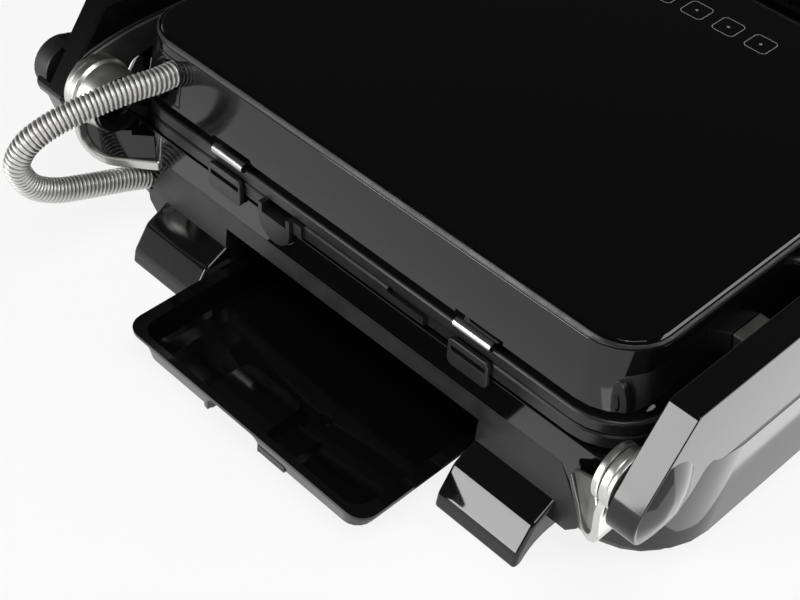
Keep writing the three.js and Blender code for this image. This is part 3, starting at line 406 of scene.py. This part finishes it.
EDGE = {
    "arm_right": 1.2, "grip_bar": 1.0, "lid_cover": 0.7, "base_shell": 0.5, "drip_tray": 0.45,
    "glass_frame": 0.2, "glass_top": 0.15, "hinge_button": 0.8, "hinge_drum_right": 0.4,
    "hinge_post_left": 0.8, "hinge_post_right": 0.8, "base_pan": 0.5,
    "plate_clip_left": 0.15, "plate_clip_right": 0.15, "conduit_cover": 0.5,
    "upper_plate": 0.4, "lower_plate": 0.4, "plate_tongue_left": 0.4, "plate_tongue_right": 0.4,
    "plate_release_upper": 0.5, "plate_release_lower": 0.5, "lid_hinge_left": 0.3,
    "lid_hinge_right": 0.3, "conduit_bush_base": 0.3, "conduit_bush_lid": 0.3,
}
for name, node in nodes.items():
    own = node.data.attributes.get("custom_normal")
    if own:
        node.data.attributes.remove(own)
    soften(node, EDGE.get(name, 0.0))
print("bevelled:", len(EDGE), "of", len(nodes))

# %% [markdown]
# ## Shapes drawn as outlines
# Several pieces need more curvature than the CAD solids carry: the arm with its round lobe, the
# claw feet, the cast brackets and the rolled clips. They are drawn as side outlines in
# millimetres, with lines and curves as in a drawing, and pulled along X; modifiers then round
# their edges. That keeps each outline readable, which a sculpted mesh would not.

# %% Outline and prism helpers
BOTH = ((-1, "left"), (1, "right"))  # the sign of x on each side, and the node's ending
BODIES = {n: b for b, members in frame["record"]["behaviour"]["bodies"].items() for n in members}

def outline(start, *steps, fine=8):
    points = [Vector(start)]
    for step in steps:
        if len(step) == 2 and not isinstance(step[0], tuple):
            points.append(Vector(step))
            continue
        here, bend, end = points[-1], Vector(step[0]), Vector(step[-1])
        for i in range(1, fine + 1):
            t = i / fine
            points.append((1 - t) ** 2 * here + 2 * t * (1 - t) * bend + t * t * end)
    return points

def finish_mesh(name, work, material, body, stands_for=()):
    bmesh.ops.recalc_face_normals(work, faces=work.faces)
    mesh = bpy.data.meshes.new(name)
    work.to_mesh(mesh)
    work.free()
    for face in mesh.polygons:
        face.use_smooth = True
    mesh.materials.append(material)
    piece = bpy.data.objects.new(name, mesh)
    bpy.context.scene.collection.objects.link(piece)
    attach(piece, body)
    if stands_for:
        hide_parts(*stands_for)
    return piece

def prism(work, points, x0, x1):
    near = [work.verts.new(place(x0, y, z)) for y, z in points]
    far = [work.verts.new(place(x1, y, z)) for y, z in points]
    work.faces.new(near)
    work.faces.new(list(reversed(far)))
    for i in range(len(points)):
        work.faces.new((near[i - 1], far[i - 1], far[i], near[i]))

def turned(work, profile, centre, side, count=64, reach=lambda turn: 1):
    y, z = centre
    rows = []
    for k in range(count):
        turn = 2 * math.pi * k / count
        dy, dz = reach(turn) * math.cos(turn), reach(turn) * math.sin(turn)
        rows.append([work.verts.new(place(side * x, y + r * dy, z + r * dz))
                     for r, x in profile])
    for k in range(count):
        for i in range(len(profile) - 1):
            work.faces.new((rows[k - 1][i], rows[k][i], rows[k][i + 1], rows[k - 1][i + 1]))
    return rows

# %% [markdown]
# ## The left arm and its lobe
# The handle's arms are glossy mouldings: a flat bar that turns down at the rear in a straight
# slope, rolls under, and carries a lens-shaped lobe over the pivot. The soft roll at the end of
# the slope decides where the light band stops, so it gets a long curve of its own. The lobe is
# turned about the pivot, but drawn in wherever it would reach past the arm's own outline.

# %% Arm
PIVOT = (12, 82)
ARM_OUTLINE = outline(
    (-246, 118.8), (-3.5, 118.8), ((-2, 118.8), (-1, 117.5)), (20.4, 89.3),
    ((24.2, 84.3), (26.2, 77.5)), ((27.1, 74.4), (25.8, 70.4)), ((24.6, 66.6), (20, 65.4)),
    ((3, 61), (-6, 69.5)), ((-10, 73), (-14, 79.3)), ((-17, 82.5), (-20, 81.5)),
    ((-24, 77.3), (-32, 77.3)), (-232, 77.3), ((-262, 79), (-288, 90)),
    ((-296, 94), (-296, 101)), ((-296, 111), (-284, 114.5)), ((-268, 118.8), (-246, 118.8)))

ARM_INNER, ARM_OUTER = 170, 184
LENS_RADIUS, LENS_HEIGHT, LENS_SUNK, LENS_MARGIN = 20.0, 5.6, 0.6, 0.7
LENS = [(LENS_RADIUS * math.sin(a), ARM_OUTER - LENS_SUNK + LENS_HEIGHT * math.cos(a) ** 2)
        for a in [math.radians(7.5 * i) for i in range(1, 13)]]

def inside_arm(turn):
    ray, edge = Vector((math.cos(turn), math.sin(turn))), LENS_RADIUS
    for a, b in zip(ARM_OUTLINE, ARM_OUTLINE[1:]):
        along, start = b - a, a - Vector(PIVOT)
        cross = ray.cross(along)
        if abs(cross) < 1e-9:
            continue
        distance, share = start.cross(along) / cross, start.cross(ray) / cross
        if distance > 0 and 0 <= share <= 1:
            edge = min(edge, distance - LENS_MARGIN)
    return edge / LENS_RADIUS

work = bmesh.new()
prism(work, ARM_OUTLINE[:-1], -ARM_INNER, -ARM_OUTER)
rows = turned(work, LENS, PIVOT, -1, 96, inside_arm)
work.faces.new([row[0] for row in rows])
work.faces.new([row[-1] for row in reversed(rows)])
arm = finish_mesh("arm_moulding_left", work, gloss_black, BODIES["arm_left"],
                  ["arm_left"])
soften(arm, 1.3, 3)
print("arm faces:", len(arm.data.polygons))

# %% [markdown]
# ## The claw feet
# Each rear foot is rooted in the base's rear panel. Its top runs out almost level, breaks at a
# crease into one flat slope, and ends in a blunt toe; the underside is hollowed like a claw.
# The back of the outline reaches into the panel, so that only the visible edges look rounded.

# %% Feet
FOOT_OUTLINE = outline(
    (-1.6, 9), (2, 9), ((14, 9), (20, 0)), (24.9, 0), (23.6, 6.2), ((23.2, 7.8), (22.2, 9.2)),
    (15.6, 18.6), ((14.5, 20.2), (12.8, 21)), (-1.6, 28))
FOOT_SPAN = (82.3, 129.6)

for side, name in BOTH:
    work = bmesh.new()
    prism(work, FOOT_OUTLINE, side * FOOT_SPAN[0], side * FOOT_SPAN[1])
    foot = finish_mesh(f"claw_foot_{name}", work, gloss_black, BODIES[f"rear_foot_{name}"],
                       [f"rear_foot_{name}"])
    soften(foot, 1.8, 4, 50)
    print("foot faces:", len(foot.data.polygons))

# %% [markdown]
# ## The cast hinge brackets
# Each bracket is one zinc casting: a strap out of the base's rear wall that rounds a heel and
# rises as an ear to the pivot, where its top is a disc. Stations along that bent path each
# give the section's place, thickness and front and rear edges; skinning them makes the casting.
# On the left one a web closes the corner between the wall side and the ear.

# %% Brackets
WALL_Y, CORNER_X, CORNER_RADIUS = -1.0, 143, 41  # the base's rear wall and its rounded corner
EAR_X, EAR_FOOT, EAR_REAR, EAR_SLOPE = 165.5, 70, 25.2, 0.35
EAR_CLEAR = 76  # above this height the ear stands clear of the base
STRAP_HALF, EAR_HALF = 2.8, 2.1  # half the casting's thickness

def base_rear(x):
    if x < CORNER_X:
        return WALL_Y
    return WALL_Y - CORNER_RADIUS + math.sqrt(CORNER_RADIUS ** 2 - (x - CORNER_X) ** 2)

def bracket_stations(radius):
    path = [(134, 44.8, 0, 1), (138, 44.8, 0, 4.2), (142, 44.8, 0, 7.4), (146, 44.8, 0, 10.5),
            (150, 44.8, 2, 13.9), (153.5, 45, 8, 16.8), (156.6, 45.9, 22, 19),
            (159.6, 47.6, 36, 20.8), (162, 49.9, 50, 22.2), (163.9, 52.8, 62, 23.4),
            (165, 56, 74, 24.3), (EAR_X, 59.5, 84, 24.8), (EAR_X, 64, 90, 25.1),
            (EAR_X, EAR_FOOT, 90, EAR_REAR)]
    stations = [(x, z, math.radians(lean), base_rear(x), rear) for x, z, lean, rear in path]
    y, z = PIVOT
    for turn in range(-36, 90, 9):
        up = z + radius * math.sin(math.radians(turn))
        reach = radius * math.cos(math.radians(turn))
        front = base_rear(EAR_X) if up < EAR_CLEAR else y - reach
        rear = max(y + reach, EAR_REAR - EAR_SLOPE * (up - EAR_FOOT)) if up < z else y + reach
        stations.append((EAR_X, up, math.radians(90), front, rear))
    return stations

WEB = [(136, 53.3), (154, 74), (159.4, 70.5), (163.4, 66), (163.4, 48), (158, 41.5),
       (152.5, 45.5)]
WEB_SLANT, WEB_THICKNESS = 0.724, (1.1, 1.5)

for side, name, radius in ((-1, "left", 12.8), (1, "right", 16.4)):
    work = bmesh.new()
    before = None
    for i, (x, z, lean, front, rear) in enumerate(bracket_stations(radius)):
        half = STRAP_HALF - (STRAP_HALF - EAR_HALF) * min(1, lean / math.radians(90))
        dx, dz = math.sin(lean) * half, math.cos(lean) * half
        ring = [work.verts.new(place(side * (x + sx * dx), y, z - sx * dz))
                for sx, y in ((1, front), (1, rear), (-1, rear), (-1, front))]
        if before is None:
            work.faces.new(ring)
        else:
            for k in range(4):
                work.faces.new((before[k - 1], ring[k - 1], ring[k], before[k]))
        before = ring
    work.faces.new(list(reversed(before)))
    if name == "left":
        web = [[work.verts.new(place(side * (x + dx), 1 + WEB_SLANT * (x - 134) - dy, z))
                for x, z in WEB] for dx, dy in ((0, 0), WEB_THICKNESS)]
        work.faces.new(web[0])
        work.faces.new(list(reversed(web[1])))
        for k in range(len(WEB)):
            work.faces.new((web[0][k - 1], web[1][k - 1], web[1][k], web[0][k]))
    bracket = finish_mesh(f"cast_bracket_{name}", work, die_cast,
                          BODIES[f"hinge_bracket_{name}"], [f"hinge_bracket_{name}"])
    soften(bracket, 1.0, 3, 40)
print("brackets made")

# %% Ring on the left pin
RING = [(5, 159.8), (11.9, 159.8), (12.5, 160.0), (12.8, 160.6), (12.8, 162.6), (12.4, 163.1),
        (5, 163.1)]
work = bmesh.new()
turned(work, RING + RING[:1], PIVOT, -1)
ring = finish_mesh("pivot_ring_left", work, die_cast, BODIES["hinge_drum_left"],
                   ["hinge_drum_left"])
smooth(ring)
print("ring faces:", len(ring.data.polygons))

# %% [markdown]
# ## The rolled clip edges
# Each plate clip is a black lever whose lower edge is covered by a curl of chromed strip. The
# curl is an arc of sheet, pulled along the clip's width, sitting on the CAD clip's own roll.

# %% Clip curls
CURL, CURL_OUTER, CURL_INNER = (1.2, 84.8), 2.62, 2.2
for side, name in BOTH:
    low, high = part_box(f"plate_clip_{name}")
    x0, x1 = [(c - SHIFT.x) / MM for c in (low.x, high.x)]
    arc = [math.radians(a) for a in range(236, 466, 10)]
    sheet = [(CURL[0] + r * math.cos(a), CURL[1] + r * math.sin(a))
             for r, angles in ((CURL_OUTER, arc), (CURL_INNER, arc[::-1])) for a in angles]
    work = bmesh.new()
    prism(work, sheet, x0 + 0.1, x1 - 0.1)
    curl = finish_mesh(f"clip_curl_{name}", work, chrome, BODIES[f"plate_clip_{name}"], ())
    smooth(curl)
print("curls made")

# %% [markdown]
# ## Touch keys printed on the glass
# The front of the glass carries a row of touch fields. Their outlines are screen-printed in a
# grey ceramic ink, a few hundredths of a millimetre thick, with a plain dot in each.

# %% Ceramic ink
ink, tree, shader, spot = new_material("grey_ceramic_ink", base_color="8e8e8e", ior=1.5)
dots = add(tree, "ShaderNodeTexNoise", {"Scale": per_mm(0.5), "Detail": 2.0}, Vector=spot)
wire(tree, shader, Roughness=vary(tree, spot, 2, 0.35, 0.5),
     Normal=relief(tree, dots.outputs["Fac"], 4))

# %% Key outlines
KEY_COUNT, KEY_PITCH, KEY_HALF, KEY_ROUND, STROKE, DOT = 7, 18.83, 6.4, 2.6, 0.42, 0.8
KEY_ROW_Y, INK_THICKNESS, KEY_POINTS, DOT_POINTS = -209.5, 0.02, 24, 16
glass_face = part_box("glass_top")[1].z / MM + INK_THICKNESS

def key_ring(half, radius):
    return [(math.copysign(half - radius, math.cos(a)) + radius * math.cos(a),
             math.copysign(half - radius, math.sin(a)) + radius * math.sin(a))
            for a in [2 * math.pi * (i + 0.5) / KEY_POINTS for i in range(KEY_POINTS)]]

work = bmesh.new()
for i in range(KEY_COUNT):
    x = (i - (KEY_COUNT - 1) / 2) * KEY_PITCH
    outer, inner = [[work.verts.new(place(x + a, KEY_ROW_Y + b, glass_face)) for a, b in loop]
                    for loop in (key_ring(KEY_HALF, KEY_ROUND),
                                 key_ring(KEY_HALF - STROKE, KEY_ROUND - STROKE))]
    for k in range(KEY_POINTS):
        work.faces.new((outer[k - 1], outer[k], inner[k], inner[k - 1]))
    dot = [work.verts.new(place(x + DOT * math.cos(a), KEY_ROW_Y + DOT * math.sin(a), glass_face))
           for a in [2 * math.pi * n / DOT_POINTS for n in range(DOT_POINTS)]]
    work.faces.new(dot)
keys = finish_mesh("touch_key_print", work, ink, BODIES["glass_top"])
print("key outlines:", KEY_COUNT)

# %% [markdown]
# ## The armoured conduit
# The lead to the lid runs in a flexible conduit, wound from a stainless strip whose edges hook
# over each other. Its skin is a helix of rounded ridges, 12.5 mm over all with a turn every
# 2.3 mm. A curve with a bevel profile can't carry a helix, so the skin is swept in code: rings
# follow the CAD route, and each point's radius depends on how far along the winding it is.

# %% The conduit's route
ROUTE = [
    (123, -12, 104), (123, 3, 104.3), (126, 16, 104), (131, 31, 101.6), (138, 49.5, 96),
    (144, 63, 87.6), (148.2, 68.9, 76), (149.6, 67, 65.5), (149.8, 61, 55.6),
    (149.5, 50, 47.9), (149, 36, 42.5), (147.8, 16, 36.2), (147, 7, 33.4), (146.5, 0, 31.1),
    (146.5, -7.6, 31),
]

def spline(points, steps):
    ends = [2 * points[0] - points[1]] + points + [2 * points[-1] - points[-2]]
    path = []
    for a, b, c, d in zip(ends, ends[1:], ends[2:], ends[3:]):
        for i in range(steps):
            t = i / steps
            path.append(0.5 * (2 * b + (c - a) * t + (2 * a - 5 * b + 4 * c - d) * t * t
                               + (3 * b - a - 3 * c + d) * t ** 3))
    return path + [points[-1].copy()]

def even_steps(path, step):
    walked, out, rest = 0.0, [path[0].copy()], step
    for a, b in zip(path, path[1:]):
        length = (b - a).length
        while rest <= length:
            out.append(a.lerp(b, rest / length))
            rest += step
        rest -= length
        walked += length
    return out, walked

RADIUS, TURN, GROOVE, RINGS, SIDES = 6.25 * MM, 2.3 * MM, 0.95 * MM, 8, 28
NARROW = 2.2  # a higher power makes the grooves narrower than the ridges
centre_line, length = even_steps(spline([place(*p) for p in ROUTE], 60), TURN / RINGS)
print("conduit length in mm:", round(length * 1000, 1), "turns:", round(length / TURN))

# %% Sweep the wound skin
def sweep(name, line, sides, radius_at):
    mesh = bpy.data.meshes.new(name)
    work = bmesh.new()
    across = (line[1] - line[0]).cross(Vector((0, 0, 1))).normalized()
    before, first = None, None
    for i, point in enumerate(line):
        ahead = (line[min(i + 1, len(line) - 1)] - line[max(i - 1, 0)]).normalized()
        across = (across - across.dot(ahead) * ahead).normalized()
        third = ahead.cross(across)
        ring = []
        for k in range(sides):
            turn = 2 * math.pi * k / sides
            out = math.cos(turn) * across + math.sin(turn) * third
            ring.append(work.verts.new(point + out * radius_at(i, k / sides)))
        if before:
            for k in range(sides):
                work.faces.new((before[k - 1], before[k], ring[k], ring[k - 1]))
        else:
            first = ring
        before = ring
    work.faces.new(first)
    work.faces.new(list(reversed(before)))
    bmesh.ops.recalc_face_normals(work, faces=work.faces)
    work.to_mesh(mesh)
    work.free()
    for face in mesh.polygons:
        face.use_smooth = True
    made = bpy.data.objects.new(name, mesh)
    bpy.context.scene.collection.objects.link(made)
    return made

def groove_at(i, around):
    return ((1 + math.cos(2 * math.pi * (i / RINGS + around))) / 2) ** NARROW

def wound_radius(i, around):
    return RADIUS - GROOVE * groove_at(i, around)

conduit_skin = sweep("conduit_armour", centre_line, SIDES, wound_radius)
conduit_skin.data.materials.append(stainless)
# The groove attribute is the mask for the painted shade in the winding's grooves.
groove = conduit_skin.data.attributes.new("groove", "FLOAT", "POINT")
groove.data.foreach_set("value", [groove_at(i // SIDES, i % SIDES / SIDES) ** 2
                                  for i in range(len(conduit_skin.data.vertices))])
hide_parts("conduit")
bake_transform(conduit_skin)
print("conduit faces:", len(conduit_skin.data.polygons))

# %% [markdown]
# ## The release button's spring
# A short coil of wire stands behind the round button on the right arm, and the button presses
# it. The coil is swept again with the same helper and takes the place of the CAD coil.

# %% Spring
COIL_FROM, COIL_LENGTH, COIL_RADIUS, WIRE, COIL_TURNS, COIL_STEPS = 178.1, 3.6, 5.4, 0.45, 2, 48
coil_line = []
for i in range(COIL_STEPS + 1):
    turn, along = 2 * math.pi * COIL_TURNS * i / COIL_STEPS, COIL_LENGTH * i / COIL_STEPS
    coil_line.append(place(COIL_FROM + along, PIVOT[0] + COIL_RADIUS * math.cos(turn),
                           PIVOT[1] + COIL_RADIUS * math.sin(turn)))
coil = sweep("button_spring", coil_line, 8, lambda ring, around: WIRE * MM)
coil.data.materials.append(steel)
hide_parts("hinge_spring")
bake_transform(coil)
print("spring faces:", len(coil.data.polygons))

# %% [markdown]
# ## Floor and world
# The object stands on a seamless white sweep. The floor is a diffuse white; what the camera and
# the mirrors see of it is lifted towards paper white, while the shadows still fall on its
# diffuse part. The world is a pale horizon under a dark ceiling, which is what keeps glossy
# black looking black from above.

# %% Floor
floor_mesh = bpy.data.meshes.new("floor")
FLOOR = 6  # metres from the middle to each edge
floor_mesh.from_pydata([(-FLOOR, -FLOOR, 0), (FLOOR, -FLOOR, 0), (FLOOR, FLOOR, 0),
                        (-FLOOR, FLOOR, 0)], [], [(0, 1, 2, 3)])
floor = bpy.data.objects.new("floor", floor_mesh)
bpy.context.scene.collection.objects.link(floor)
GLOW_SHARE = 0.85  # how much of the seen floor is plain glow; the rest keeps the shadow
paper, tree, shader, spot = new_material("seamless_white_paper", base_color="f6f6f6",
                                         roughness=0.9)
shader.inputs["Specular IOR Level"].default_value = 0.1
rays = add(tree, "ShaderNodeLightPath")
seen = rays.outputs["Is Camera Ray"]
for kind in ("Is Glossy Ray", "Is Transmission Ray"):
    either = add(tree, "ShaderNodeMath", {"operation": "MAXIMUM"})
    tree.links.new(seen, either.inputs[0])
    tree.links.new(rays.outputs[kind], either.inputs[1])
    seen = either.outputs[0]
share = add(tree, "ShaderNodeMath", {"operation": "MULTIPLY"})
tree.links.new(seen, share.inputs[0])
share.inputs[1].default_value = GLOW_SHARE
glow = add(tree, "ShaderNodeEmission", {"Strength": 1.0})
lift = add(tree, "ShaderNodeMixShader", {}, Fac=share.outputs[0])
tree.links.new(shader.outputs["BSDF"], lift.inputs[1])
tree.links.new(glow.outputs["Emission"], lift.inputs[2])
tree.links.new(lift.outputs["Shader"], tree.nodes["Material Output"].inputs["Surface"])
floor_mesh.materials.append(paper)

# %% World
world = bpy.data.worlds.new("studio")
bpy.context.scene.world = world
world.use_nodes = True
tree = world.node_tree
toward = add(tree, "ShaderNodeTexCoord").outputs["Generated"]
height = add(tree, "ShaderNodeSeparateXYZ", {}, Vector=toward).outputs["Z"]
ceiling = add(tree, "ShaderNodeMapRange",
              {"From Min": 0.08, "From Max": 0.3, "To Min": 0.92, "To Max": 0.05,
               "interpolation_type": "SMOOTHSTEP"}, Value=height)
tree.links.new(ceiling.outputs["Result"], tree.nodes["Background"].inputs["Strength"])
tree.nodes["Background"].inputs["Color"].default_value = linear("ffffff")
print("world ready")

# %% [markdown]
# ## Lamps
# Glossy black shows the lamps more than their light. A low wide softbox behind and to the right
# draws the bright bands on the rear slopes; a light table on the left brightens the side walls
# from below; a big softbox overhead gives the plain general light. Each lamp's power is worked
# out from the brightness it should show in a mirror.

# %% Softboxes
def softbox(name, spot, target, width, height, brightness):
    data = bpy.data.lights.new(name, "AREA")
    data.shape = "RECTANGLE"
    data.size, data.size_y = width, height
    data.energy = brightness * width * height * math.pi
    lamp = bpy.data.objects.new(name, data)
    bpy.context.scene.collection.objects.link(lamp)
    lamp.location = spot
    lamp.rotation_euler = (Vector(target) - Vector(spot)).to_track_quat("-Z", "Y").to_euler()
    lamp.visible_camera = False
    return lamp

softbox("rear_softbox", (0.62, 1.5, 0.47), (-0.1, 0.1, 0.2), 0.66, 0.9, 9.0)
softbox("left_softbox", (-1.35, -0.75, 0.62), (0, 0, 0.08), 1.1, 0.55, 4.0)
softbox("overhead_softbox", (-0.7, 0.35, 1.6), (0, 0, 0), 1.0, 1.0, 5.0)
softbox("light_table", (-0.41, -0.1, 0.002), (-0.41, -0.1, 1), 0.42, 0.9, 1.2)
bpy.context.scene.view_settings.view_transform = "Standard"
